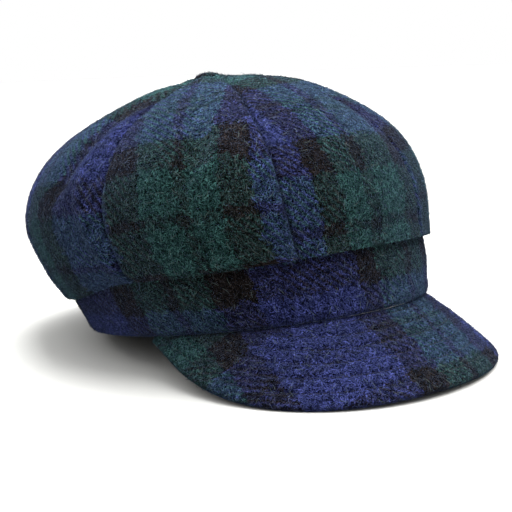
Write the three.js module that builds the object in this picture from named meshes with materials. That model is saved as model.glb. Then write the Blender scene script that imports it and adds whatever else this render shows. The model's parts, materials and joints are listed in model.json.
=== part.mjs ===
// A baker boy cap in tartan wool: eight crown panels that meet under a covered button, a band
// that fits round the head, and a stiff peak sewn to the front of the band.
//
// Millimetres. The cap is shaped in its own frame: the rim of the band lies in z = 0 with the head's
// centre at x = y = 0, the wearer faces -Y and the wearer's left is +X. Angles go round the head from
// the front towards the wearer's left. At the end the cap is set down on the back of its rim and on
// its peak, as it lies on a table.

import * as THREE from 'three';

// ---------------------------------------------------------------- driving dimensions

const clothWall = 2.0; // milled wool with its fusing
const bandWall = 2.8; // two layers of cloth and a stay tape
const peakThickness = 3.8; // board between two layers of cloth
const pieceGap = 0.35; // between neighbouring pieces

// Outside of the band, from the rim to the seam that carries the crown.
const bandSections = [
  { name: 'rim', front: 108, side: 84, back: 103, zFront: 0, zSide: 0, zHind: 0, zBack: 0 },
  { name: 'middle', front: 107, side: 92, back: 108, zFront: 17, zSide: 17, zHind: 17, zBack: 17 },
  { name: 'top seam', front: 104, side: 95, back: 112, zFront: 34, zSide: 34, zHind: 34, zBack: 34 },
];

// Outside of the crown along its seams, from the fold that hangs over the band up to the button.
// puff is how far the middle of a panel stands out from the line between its seams.
const crownSections = [
  { name: 'fold', front: 108, side: 97, back: 111, zFront: 31, zSide: 29, zHind: 21, zBack: 19, puff: 1 },
  { name: 'low', front: 107, side: 101, back: 127, zFront: 37, zSide: 36, zHind: 37, zBack: 38, puff: 1.5 },
  { name: 'widest', front: 105, side: 104, back: 140, zFront: 59, zSide: 62, zHind: 63, zBack: 65, puff: 2.5 },
  { name: 'shoulder', front: 94, side: 95, back: 129, zFront: 82, zSide: 85, zHind: 86, zBack: 88, puff: 4 },
  { name: 'upper', front: 70, side: 75, back: 100, zFront: 104, zSide: 105, zHind: 106, zBack: 108, puff: 4 },
  { name: 'crest', front: 36, side: 41, back: 51, zFront: 121, zSide: 121, zHind: 121, zBack: 122, puff: 4.5 },
  { name: 'button', front: -8, side: 4, back: 16, zFront: 131, zSide: 131, zHind: 131, zBack: 131, puff: 0 },
];
const sideAngle = 72; // where zSide holds, degrees round from the front
const hindAngle = 108; // where zHind holds

// Crown seams on the wearer's left, degrees round from the front. The right side mirrors them.
const seamAngles = [24.5, 72, 114, 157.5];

// Soft folds in the crown: each runs up the cloth between two places and stands out by height.
const crownFolds = [
  { name: 'right side crest', fromAngle: -86, fromRise: 0.44, toAngle: -77, toRise: 0.78, width: 7, height: 3 },
  { name: 'right seam ridge', fromAngle: -73, fromRise: 0.12, toAngle: -79, toRise: 0.50, width: 5, height: 2 },
  { name: 'right hind slack', fromAngle: -128, fromRise: 0.04, toAngle: -142, toRise: 0.42, width: 8, height: 2.5 },
  { name: 'back slack', fromAngle: 172, fromRise: 0.05, toAngle: 186, toRise: 0.40, width: 8, height: 2.5 },
  { name: 'left hind slack', fromAngle: 132, fromRise: 0.04, toAngle: 140, toRise: 0.44, width: 8, height: 2.5 },
  { name: 'left side crest', fromAngle: 92, fromRise: 0.30, toAngle: 86, toRise: 0.80, width: 8, height: 2 },
];

// The turned-under edge of each panel, from its low to its high line above the fold.
const hem = { low: 1.0, high: 3.4 };

// The covered button: foot is its clearance above the crown, rim the height of its rounded edge.
const button = { radius: 7.5, height: 3.8, foot: 0.35, rim: 1.2, shankRadius: 2.4, shankDepth: 2.0 };

// The peak: how far it reaches from the rim and how steeply it falls from the rim plane.
const peak = {
  length: 51.0, // at the middle of the front
  endAngle: 81.0, // where it runs out along the rim
  squareness: 3.2, // higher keeps the length further round
  tipPower: 1.5, // higher draws the corners in
  frontFall: 43.0, // degrees
  sideFall: 6.0, // degrees more, where it faces sideways
  tuck: 1.2, // how far its sewn edge reaches in under the band
  noseWidth: 3.0, // the rounded edge
  thinningLength: 14, // where it is shorter than this, towards its ends, it gets thinner
  thinnest: 0.4, // share of its thickness left at the ends
  cutShare: 0.965, // share of endAngle where the ends are cut off
  crowding: 0.86, // higher crowds the columns towards the ends
};

// How finely each piece is divided.
const panelColumns = 8;
const panelRows = 21;
const bandColumns = 72;
const bandRows = 4;
const peakColumns = 36;
const buttonColumns = 24;

// ---------------------------------------------------------------- curves through the sections

const radians = THREE.MathUtils.degToRad;

function smoothStep(share) {
  return 0.5 - 0.5 * Math.cos(Math.PI * THREE.MathUtils.clamp(share, 0, 1));
}

// A smooth curve through four values, from b at share 0 to c at share 1.
function throughValues(a, b, c, d, share) {
  const slope = (c - a) * share;
  const bend = (2 * a - 5 * b + 4 * c - d) * share ** 2;
  const twist = (3 * b - a - 3 * c + d) * share ** 3;
  return 0.5 * (2 * b + slope + bend + twist);
}

// The section at rise, from 0 at the first row of the table to 1 at the last.
function sectionAt(sections, rise) {
  const last = sections.length - 1;
  const place = THREE.MathUtils.clamp(rise, 0, 1) * last;
  const below = Math.min(Math.floor(place), last - 1);
  const rows = [Math.max(below - 1, 0), below, below + 1, Math.min(below + 2, last)].map((row) => sections[row]);
  const section = {};
  for (const column of Object.keys(sections[0])) {
    if (column === 'name') continue;
    const [a, b, c, d] = rows.map((row) => row[column]);
    section[column] = throughValues(a, b, c, d, place - below);
  }
  return section;
}

// Height of a section at an angle: its four heights, joined smoothly round each side.
function heightAt(section, angle) {
  const turn = Math.abs(Math.atan2(Math.sin(angle), Math.cos(angle)));
  const side = radians(sideAngle);
  const hind = radians(hindAngle);
  if (turn < side) return THREE.MathUtils.lerp(section.zFront, section.zSide, smoothStep(turn / side));
  if (turn < hind) {
    return THREE.MathUtils.lerp(section.zSide, section.zHind, smoothStep((turn - side) / (hind - side)));
  }
  return THREE.MathUtils.lerp(section.zHind, section.zBack, smoothStep((turn - hind) / (Math.PI - hind)));
}

// A point of the smooth surface through a table: each section is an ellipse round the head.
function surfacePoint(sections, angle, rise) {
  const section = sectionAt(sections, rise);
  const middle = (section.back - section.front) / 2;
  const halfLength = (section.back + section.front) / 2;
  return new THREE.Vector3(
    section.side * Math.sin(angle),
    middle - halfLength * Math.cos(angle),
    heightAt(section, angle),
  );
}

// The outward normal of that surface.
function surfaceNormal(sections, angle, rise) {
  const step = 0.001;
  const round = surfacePoint(sections, angle + step, rise).sub(surfacePoint(sections, angle - step, rise));
  const higher = surfacePoint(sections, angle, Math.min(rise + step, 1));
  const lower = surfacePoint(sections, angle, Math.max(rise - step, 0));
  return round.cross(higher.sub(lower)).normalize();
}

// ---------------------------------------------------------------- closed solids from grids

// A grid is a list of rows of points. Joins an outer and an inner grid into one closed wall.
// A grid whose columns go all the way round is closed on itself and has no end walls.
function wallBetween(outer, inner, goesRound) {
  const rows = outer.length;
  const columns = outer[0].length;
  const positions = [...outer.flat(), ...inner.flat()].flatMap((point) => point.toArray());
  const outerAt = (row, column) => row * columns + (column % columns);
  const innerAt = (row, column) => rows * columns + outerAt(row, column);
  const faces = [];
  const quad = (a, b, c, d) => faces.push(a, b, c, a, c, d);
  const spans = goesRound ? columns : columns - 1;
  for (let column = 0; column < spans; column += 1) {
    for (let row = 0; row < rows - 1; row += 1) {
      quad(outerAt(row, column), outerAt(row, column + 1), outerAt(row + 1, column + 1), outerAt(row + 1, column));
      quad(innerAt(row, column), innerAt(row + 1, column), innerAt(row + 1, column + 1), innerAt(row, column + 1));
    }
    const top = rows - 1;
    quad(outerAt(0, column), innerAt(0, column), innerAt(0, column + 1), outerAt(0, column + 1));
    quad(outerAt(top, column), outerAt(top, column + 1), innerAt(top, column + 1), innerAt(top, column));
  }
  for (let row = 0; row < rows - 1 && !goesRound; row += 1) {
    const end = columns - 1;
    quad(outerAt(row, 0), outerAt(row + 1, 0), innerAt(row + 1, 0), innerAt(row, 0));
    quad(outerAt(row, end), innerAt(row, end), innerAt(row + 1, end), outerAt(row + 1, end));
  }
  const geometry = new THREE.BufferGeometry();
  geometry.setAttribute('position', new THREE.Float32BufferAttribute(positions, 3));
  geometry.setIndex(faces);
  geometry.computeVertexNormals();
  return geometry;
}

function cloth(color) {
  return new THREE.MeshStandardMaterial({ color, roughness: 0.95, metalness: 0 });
}

function piece(name, geometry, material) {
  const mesh = new THREE.Mesh(geometry, material);
  mesh.name = name;
  return mesh;
}

// ---------------------------------------------------------------- crown panels

const foldRise = 0;
const lowRise = 1 / (crownSections.length - 1);

// How far the soft folds lift the crown at a place.
function foldLift(angle, rise, reach) {
  let lift = 0;
  for (const fold of crownFolds) {
    const share = (rise - fold.fromRise) / (fold.toRise - fold.fromRise);
    if (share <= 0 || share >= 1) continue;
    const turn = angle - radians(THREE.MathUtils.lerp(fold.fromAngle, fold.toAngle, share));
    const aside = Math.atan2(Math.sin(turn), Math.cos(turn)) * reach;
    lift += fold.height * Math.sin(Math.PI * share) * Math.exp(-((aside / fold.width) ** 2));
  }
  return lift;
}

// A point of a crown panel. across goes from -1 at one seam to 1 at the next, depth into the cloth.
function crownPoint(panel, across, rise, depth) {
  const section = sectionAt(crownSections, rise);
  const reach = Math.max(section.side, button.shankRadius);
  const halfGap = pieceGap / 2 / reach;
  const halfTurn = (panel.toAngle - panel.fromAngle) / 2;
  const angle = (panel.toAngle + panel.fromAngle) / 2 + across * (halfTurn - halfGap);
  const lift = section.puff * (1 - across ** 2) + foldLift(angle, rise, reach) * (1 - across ** 8);
  const normal = surfaceNormal(crownSections, angle, rise);
  return surfacePoint(crownSections, angle, rise).addScaledVector(normal, lift - depth);
}

// The line where a panel's fold hugs the band, above the lowest point of the fold.
function hemPoint(panel, across, above) {
  const low = crownPoint(panel, across, foldRise, 0);
  const angle = Math.atan2(low.x / crownSections[0].side, -low.y / crownSections[0].front);
  const height = low.z + above;
  const bandHeight = bandSections[bandSections.length - 1].zFront;
  const rise = Math.min(height / bandHeight, 1);
  const normal = surfaceNormal(bandSections, angle, rise);
  const point = surfacePoint(bandSections, angle, rise).addScaledVector(normal, pieceGap);
  return point.setZ(height);
}

function crownPanel(panel) {
  const outer = [];
  const inner = [];
  const acrossAt = (column) => (2 * column) / panelColumns - 1;
  const columns = Array.from({ length: panelColumns + 1 }, (_, column) => acrossAt(column));
  outer.push(columns.map((across) => hemPoint(panel, across, hem.low)));
  inner.push(columns.map((across) => hemPoint(panel, across, hem.high)));
  for (let row = 0; row <= panelRows; row += 1) {
    const rise = row / panelRows;
    const foldRoom = clothWall * Math.max(0, 1 - rise / lowRise);
    const lifted = new THREE.Vector3(0, 0, foldRoom);
    outer.push(columns.map((across) => crownPoint(panel, across, rise, 0)));
    inner.push(columns.map((across) => crownPoint(panel, across, rise, clothWall).add(lifted)));
  }
  return wallBetween(outer, inner, false);
}

// ---------------------------------------------------------------- band, peak and button

function bandRing() {
  const outer = [];
  const inner = [];
  for (let row = 0; row < bandRows; row += 1) {
    const rise = row / (bandRows - 1);
    const ring = Array.from({ length: bandColumns }, (_, column) => {
      const angle = (2 * Math.PI * column) / bandColumns;
      return { face: surfacePoint(bandSections, angle, rise), normal: surfaceNormal(bandSections, angle, rise) };
    });
    outer.push(ring.map(({ face }) => face));
    inner.push(ring.map(({ face, normal }) => {
      const inward = normal.setZ(0).normalize();
      return face.clone().addScaledVector(inward, -bandWall);
    }));
  }
  return wallBetween(outer, inner, true);
}

// How far the peak reaches from the rim at an angle.
function peakLength(angle) {
  const turn = Math.abs(angle) / radians(peak.endAngle);
  return peak.length * (1 - turn ** peak.squareness) ** peak.tipPower;
}

// A point of the peak. reach goes from 0 at the sewn edge to 1 at the free edge, and share
// from 0 on its upper side to 1 underneath.
function peakPoint(angle, reach, share) {
  const rim = bandSections[0];
  const length = peakLength(angle);
  const thickness = peakThickness * THREE.MathUtils.clamp(length / peak.thinningLength, peak.thinnest, 1);
  const fall = radians(peak.frontFall + peak.sideFall * (1 - Math.cos(angle)));
  const start = surfacePoint(bandSections, angle, 0);
  const outward = new THREE.Vector3(rim.front * Math.sin(angle), -rim.side * Math.cos(angle), 0).normalize();
  const run = outward.clone().multiplyScalar(Math.cos(fall)).setZ(-Math.sin(fall));
  const up = outward.clone().multiplyScalar(Math.sin(fall)).setZ(Math.cos(fall));
  start.addScaledVector(outward, -peak.tuck);
  start.z -= pieceGap;
  return start.addScaledVector(run, (length + peak.tuck) * reach).addScaledVector(up, -thickness * share);
}

function peakBlade() {
  const lastTurn = peak.cutShare * radians(peak.endAngle);
  const quarter = (Math.PI / 2) * peak.crowding;
  const angles = Array.from({ length: peakColumns + 1 }, (_, column) => {
    const share = (2 * column) / peakColumns - 1;
    return (lastTurn * Math.sin(quarter * share)) / Math.sin(quarter);
  });
  const nose = peak.noseWidth / peak.length;
  const profile = [
    { reach: 0, inset: 0 },
    { reach: 0.33, inset: 0 },
    { reach: 0.66, inset: 0 },
    { reach: 1 - nose, inset: 0 },
    { reach: 1 - nose * 0.35, inset: 0.1 },
    { reach: 1, inset: 0.32 },
  ];
  const upper = profile.map(({ reach, inset }) => angles.map((angle) => peakPoint(angle, reach, inset)));
  const under = profile.map(({ reach, inset }) => angles.map((angle) => peakPoint(angle, reach, 1 - inset)));
  return wallBetween(under, upper, false);
}

function buttonDome(seat) {
  const profile = [
    [0, button.foot - button.shankDepth],
    [button.shankRadius, button.foot - button.shankDepth],
    [button.shankRadius, button.foot],
    [button.radius - button.rim / 2, button.foot],
    [button.radius, button.foot + button.rim],
    [button.radius * 0.88, button.foot + button.height * 0.62],
    [button.radius * 0.55, button.foot + button.height * 0.9],
    [0, button.foot + button.height],
  ].map(([radius, height]) => new THREE.Vector2(radius, height));
  const geometry = new THREE.LatheGeometry(profile, buttonColumns);
  geometry.rotateX(Math.PI / 2);
  geometry.translate(seat.x, seat.y, seat.z);
  return geometry;
}

// ---------------------------------------------------------------- assembly

const shades = ['#24406a', '#1f5a4c', '#2b3f78', '#1f4a44'];
const cap = new THREE.Group();

const turns = [...seamAngles.map((angle) => -angle).reverse(), ...seamAngles];
turns.forEach((fromAngle, index) => {
  const next = index + 1 < turns.length ? turns[index + 1] : turns[0] + 360;
  const panel = { fromAngle: radians(fromAngle), toAngle: radians(next) };
  cap.add(piece(`crown_panel_${index + 1}`, crownPanel(panel), cloth(shades[index % shades.length])));
});
cap.add(piece('band', bandRing(), cloth('#1c2f4a')));
cap.add(piece('peak', peakBlade(), cloth('#2a3a72')));

const topSection = crownSections[crownSections.length - 1];
const buttonSeat = new THREE.Vector3(0, (topSection.back - topSection.front) / 2, topSection.zSide);
cap.add(piece('top_button', buttonDome(buttonSeat), cloth('#1a2430')));

// Set down: pitched back until the lowest point of the peak and the back of the rim share a level.
const rimBack = bandSections[0].back;
const underside = cap.getObjectByName('peak').geometry.getAttribute('position');
let pitch = 0;
for (let index = 0; index < underside.count; index += 1) {
  pitch = Math.max(pitch, Math.atan2(-underside.getZ(index), rimBack - underside.getY(index)));
}
cap.rotation.x = -pitch;

const group = new THREE.Group();
group.add(cap);
group.updateMatrixWorld(true);
const extent = new THREE.Box3().setFromObject(group, true);
const centre = extent.getCenter(new THREE.Vector3());
cap.position.set(-centre.x, -centre.y, -extent.min.z);

export default group;
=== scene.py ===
"""A baker boy cap in milled tartan wool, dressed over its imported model.

Lengths are millimetres in the cap's own frame: the rim of the band lies in z = 0 with the head's
centre at x = y = 0, the wearer faces -Y and the wearer's left is +X. placed() turns such points
into metres in the shared frame, where the cap sits tipped back on its rim and its peak.
"""

import json
import math
from collections import namedtuple

import bmesh
import bpy
import numpy as np
from mathutils import Matrix, Vector, noise


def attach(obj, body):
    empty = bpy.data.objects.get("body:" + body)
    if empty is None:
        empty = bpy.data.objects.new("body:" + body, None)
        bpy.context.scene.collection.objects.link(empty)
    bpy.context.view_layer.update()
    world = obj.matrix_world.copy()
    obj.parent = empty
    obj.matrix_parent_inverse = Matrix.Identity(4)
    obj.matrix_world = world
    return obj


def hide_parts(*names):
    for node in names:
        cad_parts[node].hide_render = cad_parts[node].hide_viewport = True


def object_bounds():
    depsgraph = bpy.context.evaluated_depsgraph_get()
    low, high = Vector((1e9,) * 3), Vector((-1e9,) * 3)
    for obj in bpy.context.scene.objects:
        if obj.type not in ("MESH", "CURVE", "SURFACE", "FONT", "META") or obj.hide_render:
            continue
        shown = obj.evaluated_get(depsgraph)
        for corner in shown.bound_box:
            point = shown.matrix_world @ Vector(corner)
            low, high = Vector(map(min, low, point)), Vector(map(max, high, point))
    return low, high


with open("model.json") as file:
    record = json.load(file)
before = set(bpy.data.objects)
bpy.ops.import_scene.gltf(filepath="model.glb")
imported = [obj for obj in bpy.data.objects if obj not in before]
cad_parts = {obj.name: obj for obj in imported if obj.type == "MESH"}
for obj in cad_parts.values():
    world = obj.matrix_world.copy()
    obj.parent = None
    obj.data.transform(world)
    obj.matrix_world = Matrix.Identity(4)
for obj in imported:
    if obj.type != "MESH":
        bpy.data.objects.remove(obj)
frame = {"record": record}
cad_low, cad_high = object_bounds()

# ---------------------------------------------------------------- sizes shared with the model

MM = 0.001
CLOTH_WALL = 2.0  # milled wool with its fusing
BAND_WALL = 2.8  # two layers of cloth and a stay tape
PEAK_THICKNESS = 3.8  # board between two layers of cloth
PIECE_GAP = 0.35

Section = namedtuple("Section", "name front side back z_front z_side z_hind z_back puff")

# Outside of the band, from the rim to the seam that carries the crown.
BAND_SECTIONS = [
    Section("rim", 108, 84, 103, 0, 0, 0, 0, 0),
    Section("middle", 107, 92, 108, 17, 17, 17, 17, 0),
    Section("top seam", 104, 95, 112, 34, 34, 34, 34, 0),
]

# Outside of the crown along its seams, from the fold that hangs over the band to the button.
CROWN_SECTIONS = [
    Section("fold", 108, 97, 111, 31, 29, 21, 19, 1),
    Section("low", 107, 101, 127, 37, 36, 37, 38, 1.5),
    Section("widest", 105, 104, 140, 59, 62, 63, 65, 2.5),
    Section("shoulder", 94, 95, 129, 82, 85, 86, 88, 4),
    Section("upper", 70, 75, 100, 104, 105, 106, 108, 4),
    Section("crest", 36, 41, 51, 121, 121, 121, 122, 4.5),
    Section("button", -8, 4, 16, 131, 131, 131, 131, 0),
]
SIDE_ANGLE = 72  # where z_side holds, degrees round from the front
HIND_ANGLE = 108  # where z_hind holds
SEAM_ANGLES = [24.5, 72, 114, 157.5]  # on the wearer's left; the right side mirrors them

Fold = namedtuple("Fold", "name from_angle from_rise to_angle to_rise width height")

# Soft folds in the crown: each runs up the cloth between two places and stands out by height.
CROWN_FOLDS = [
    Fold("right seam ridge", -73, 0.12, -79, 0.50, 5, 2),
    Fold("right hind slack", -128, 0.04, -142, 0.42, 8, 2.5),
    Fold("back slack", 172, 0.05, 186, 0.40, 8, 2.5),
    Fold("left hind slack", 132, 0.04, 140, 0.44, 8, 2.5),
    Fold("left side crest", 92, 0.30, 86, 0.80, 8, 2),
]

# Creases, where the cloth of a panel folds over itself. Panels count from 0, at the wearer's right of
# the back. steep and soft are the widths of a crease's two sides. The cloth on its steep side dips
# and is tucked under.
Crease = namedtuple("Crease", "panel from_angle from_rise to_angle to_rise steep soft height dip tuck")
CREASES = [
    Crease(1, -85, 0.38, -72.5, 0.80, 3, 10, 2.2, 3.0, 20),
    Crease(1, -74, 0.08, -80, 0.50, 3, 4, 2.0, 0, 0),
    Crease(2, -50, 0.36, -37, 0.64, 7, 4, -2.0, 0, 0),
]
CREASE_FADE = 0.6  # lower keeps a crease's height nearer to its ends
DIP_AWAY = 9.0  # from the crest of a crease to the bottom of its dip
DIP_WIDTH = 6.0

BUTTON_RADIUS = 7.5
BUTTON_HEIGHT = 3.8
BUTTON_RIM = 1.2  # the height of its rounded edge
BUTTON_FOOT = 0.35  # its clearance above the crown
BUTTON_FLATNESS = 1.4  # higher flattens the dome towards its edge
BUTTON_PLEATS = 14  # the cover is gathered under the button
BUTTON_PLEAT_DEPTH = 0.035  # as a share of the radius
SHANK_RADIUS = 2.4
SHANK_DEPTH = 2.0
GATHER_HEIGHT = 1.7  # the panels bunch up round the button
GATHER_RADIUS = 11.5
GATHER_WIDTH = 4.5

PEAK_LENGTH = 51.0  # at the middle of the front
PEAK_END_ANGLE = 81.0  # where it runs out along the rim
PEAK_SQUARENESS = 3.2
PEAK_TIP_POWER = 1.5
PEAK_FRONT_FALL = 43.0  # degrees below the rim plane
PEAK_SIDE_FALL = 6.0  # degrees more, where it faces sideways
PEAK_TUCK = 1.4  # its sewn edge, which the model leaves clear of the band, is drawn in under it
PEAK_DROP = 0.1  # and lies this far below the rim
PEAK_THINNING = 14  # where it is shorter than this, towards its ends, it gets thinner
PEAK_THINNEST = 0.4  # share of its thickness left at the ends
PEAK_CUT_SHARE = 0.965  # share of the end angle where the ends are cut off
PEAK_CROWDING = 0.86  # higher crowds the columns towards the ends

# ---------------------------------------------------------------- sizes of the cloth and sewing

THREAD_PITCH = 1.2  # one thread of the tartan, warp and weft alike, as coarse as it needs to show

# Where each piece is cut from the tartan. A stripe's place on the piece, then its place in the sett,
# both from the middle of a green stripe. The cloth is eased and steamed to shape between them.
PieceCut = namedtuple("PieceCut", "across along")
PANEL_CUTS = [
    # right of the back
    PieceCut([(-12, 0)], [(20, 0)]),
    # right side
    PieceCut(
        [(-32, 0), (-12, 20.4), (6, 37.2), (44, 74)],
        [(18, 0), (46, 25.2), (64, 42.0), (108, 94.8), (127, 111.6)],
    ),
    # right of the front
    PieceCut(
        [(-45.5, -37.2), (-23, -20.4), (-1, 0), (16, 20.4), (32.5, 37.2)],
        [(28.5, 0), (53, 25.2), (70, 42.0), (94, 65)],
    ),
    # front
    PieceCut(
        [(-29, -37.2), (-16.5, -20.4), (-0.5, 0), (28, 20.4), (44, 37.2)],
        [(11, 0), (37, 25.2), (57, 42.0), (108, 94.8), (125, 111.6)],
    ),
    # left of the front, left side, left of the back, and back
    PieceCut([(-3, 0)], [(24, 0)]),
    PieceCut([(24, 0)], [(18, 0)]),
    PieceCut([(8, 0)], [(26, 0)]),
    PieceCut([(-2, 0)], [(16, 0)]),
]
BAND_CUT = PieceCut(
    [
        (-147, -164.4), (-130, -147.6), (-108, -127.2), (-87, -106.8),
        (-65.5, -90), (-12.3, -37.2), (0, -20.4), (25, 0),
    ],
    [(14, -42.0)],
)
PEAK_CUT = PieceCut([(20.5, 0)], [(-40, 42.0)])
BUTTON_CUT = PieceCut([(-30, 0)], [(30, 0)])
SLANTED_PANEL = 2
SLANT_SLIP = 9.0  # the slanting crease draws the cloth beside it up by this, at its top
SLANT_TOP = 84  # how far up the panel that is
SLANT_FROM = 6  # the slip starts this far aside of the panel's middle
SLANT_WIDTH = 12  # and is whole this much further aside
PEAK_BOW = 0.0032  # the peak's weft bows by this times the square of its distance from the middle
FAR = 400.0  # past the last stripe that a cut names, the cloth lies true

SEAM_DEPTH = 1.9  # how far a panel's edge turns in at a seam
SEAM_ROLL = 1.9  # over this width
SEAM_PUFF = 0.35  # the cloth stands a little proud beside a seam
SEAM_PUFF_WIDTH = 2.6
RELIEF_FROM = 16  # a panel's relief is whole where half its width is this, and fades to the button
ALLOWANCE = 9.5  # the turned-in edges end here and show through
ALLOWANCE_STEP = 0.12
ALLOWANCE_EDGE = 2.4  # the step runs out over this width
PUCKER_PITCH = 13.0
PUCKER_HEIGHT = 0.32
PUCKER_REACH = 9
SLACK_PITCH = 30.0  # the cloth never lies quite smooth
SLACK_HEIGHT = 0.7
SLACK_EDGE = 14  # seams hold it smooth this far

FOOT_BULK = 0.9  # the band's turned-up edge is bulky
FOOT_BULK_HEIGHT = 3.5  # where it is bulkiest, above the rim
FOOT_BULK_WIDTH = 4
BAND_SLACK_PITCH = 24
BAND_SLACK = 0.35
BAND_SLACK_EDGE = 6
BACK_SEAM_DEPTH = 0.9

COVER_CROWN = 0.8  # the peak's cover stands off its board by this, halfway out
COVER_SLACK_PITCH = 14
COVER_SLACK = 0.18
COVER_SLACK_EDGE = 6
UNDER_CROWN = 0.24
FULL_LENGTH = 40  # where the peak is shorter than this, its cover lies flatter

STITCH_ROWS = 6
STITCH_ROW_GAP = 8.2
STITCH_PITCH = 3.2
STITCH_LENGTH = 2.5
STITCH_START = 2.5  # the rows keep this far from the sewn edge
THREAD_THICKNESS = 0.38  # a real thread is 0.3 mm thick; this one is drawn so that it shows
QUILT_DEPTH = 0.6  # each row of stitches pulls the cover in by this
QUILT_WIDTH = 1.1

# ---------------------------------------------------------------- the cap's frame

rim_mount = next(mount for mount in frame["record"]["mounts"] if mount["name"] == "rim_face")
down = rim_mount["axis"]
pitch = math.atan2(-down[1], -down[2])
turn = np.array(Matrix.Rotation(-pitch, 3, "X"))
rim_back = np.array([0.0, BAND_SECTIONS[0].back - BAND_WALL / 2, 0.0])
origin = np.array(rim_mount["pos_m"]) - turn @ rim_back * MM


def placed(points):
    """Points in the cap's frame, in millimetres, as points of the shared frame in metres."""
    return np.asarray(points) @ turn.T * MM + origin


# ---------------------------------------------------------------- curves through the sections


def smooth(share):
    return 0.5 - 0.5 * np.cos(np.pi * np.clip(share, 0, 1))


def section_at(sections, rise):
    """The sections' columns at each rise, from 0 at the first row to 1 at the last."""
    columns = np.array([section[1:] for section in sections], float)
    last = len(columns) - 1
    place = np.clip(rise, 0, 1) * last
    below = np.minimum(place.astype(int), last - 1)
    share = (place - below)[..., None]
    a, b = columns[np.maximum(below - 1, 0)], columns[below]
    c, d = columns[below + 1], columns[np.minimum(below + 2, last)]
    slope = (c - a) * share
    bend = (2 * a - 5 * b + 4 * c - d) * share**2
    twist = (3 * b - a - 3 * c + d) * share**3
    return Section(None, *np.moveaxis(0.5 * (2 * b + slope + bend + twist), -1, 0))


def height_at(section, angle):
    """The height of a section at an angle: its four heights, joined smoothly round each side."""
    turned = np.abs(np.arctan2(np.sin(angle), np.cos(angle)))
    side, hind = math.radians(SIDE_ANGLE), math.radians(HIND_ANGLE)
    to_side = section.z_front + (section.z_side - section.z_front) * smooth(turned / side)
    to_hind = section.z_side + (section.z_hind - section.z_side) * smooth((turned - side) / (hind - side))
    to_back = section.z_hind + (section.z_back - section.z_hind) * smooth((turned - hind) / (np.pi - hind))
    return np.where(turned < side, to_side, np.where(turned < hind, to_hind, to_back))


def surface_point(sections, angle, rise):
    """A point of the smooth surface through a table: each section is an ellipse round the head."""
    section = section_at(sections, rise)
    middle = (section.back - section.front) / 2
    half_length = (section.back + section.front) / 2
    across = section.side * np.sin(angle)
    forward = middle - half_length * np.cos(angle)
    return np.stack([across, forward, height_at(section, angle)], -1)


def unit(vectors):
    return vectors / np.linalg.norm(vectors, axis=-1, keepdims=True)


def surface_normal(sections, angle, rise):
    step = 0.001
    around = surface_point(sections, angle + step, rise) - surface_point(sections, angle - step, rise)
    higher = surface_point(sections, angle, np.minimum(rise + step, 1))
    lower = surface_point(sections, angle, np.maximum(rise - step, 0))
    return unit(np.cross(around, higher - lower))


def run_along(points, axis):
    """The distance run along a grid of points, from 0 at its first row or column."""
    steps = np.linalg.norm(np.diff(points, axis=axis), axis=-1)
    start = np.zeros_like(np.take(steps, [0], axis))
    return np.concatenate([start, np.cumsum(steps, axis)], axis)


def waves(points, pitch_mm, seed):
    """Smooth noise from about -1 to 1 at each point of a grid."""
    flat = points.reshape(-1, 3) / pitch_mm
    values = [noise.noise(Vector(point) + Vector((seed, 0, 0))) for point in flat]
    return np.array(values).reshape(points.shape[:-1])


# ---------------------------------------------------------------- meshes from sheets

Sheet = namedtuple("Sheet", "points cloth")  # cloth: place in the sett, then true place on the cloth
CLOTH_MAPS = ("sett", "cloth")
MERGE_WITHIN = 0.004


def cut_from(cut, across, along):
    """The cloth of a sheet: where its points lie in the sett, and where they lie on the flat cloth."""
    places = []
    for place, stripes in ((across, cut.across), (along, cut.along)):
        (first, first_sett), (last, last_sett) = stripes[0], stripes[-1]
        knots = [(first - FAR, first_sett - FAR)] + stripes + [(last + FAR, last_sett + FAR)]
        places.append(np.interp(place, *zip(*knots)))
    return np.stack([*places, across, along], -1)


def in_scene(name, data):
    """A new object of the scene."""
    thing = bpy.data.objects.new(name, data)
    bpy.context.scene.collection.objects.link(thing)
    return thing


def mesh_from(name, sheets):
    """A mesh of sheets of points. Each sheet's cloth holds its place on the tartan."""
    mesh = bpy.data.meshes.new(name)
    points, faces, cloth = [], [], []
    first = 0
    for sheet in sheets:
        rows, columns = sheet.points.shape[:2]
        row, column = np.mgrid[0 : rows - 1, 0 : columns - 1]
        corner = (row * columns + column).ravel()
        quads = np.stack([corner, corner + 1, corner + columns + 1, corner + columns], -1)
        faces.append(quads + first)
        cloth.append(sheet.cloth.reshape(-1, 4)[quads.ravel()])
        points.append(placed(sheet.points.reshape(-1, 3)))
        first += rows * columns
    mesh.from_pydata(np.concatenate(points).tolist(), [], np.concatenate(faces).tolist())
    cloth = (np.concatenate(cloth) * MM).astype(np.float32)
    for index, cloth_map in enumerate(CLOTH_MAPS):
        layer = mesh.uv_layers.new(name=cloth_map)
        layer.uv.foreach_set("vector", cloth[:, 2 * index : 2 * index + 2].ravel())
    return mesh


def piece_from(name, sheets, material):
    """One closed piece from sheets of points that meet along their edges."""
    mesh = mesh_from(name, sheets)
    close_up(mesh)
    mesh.materials.append(material)
    return in_scene(name, mesh)


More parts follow.
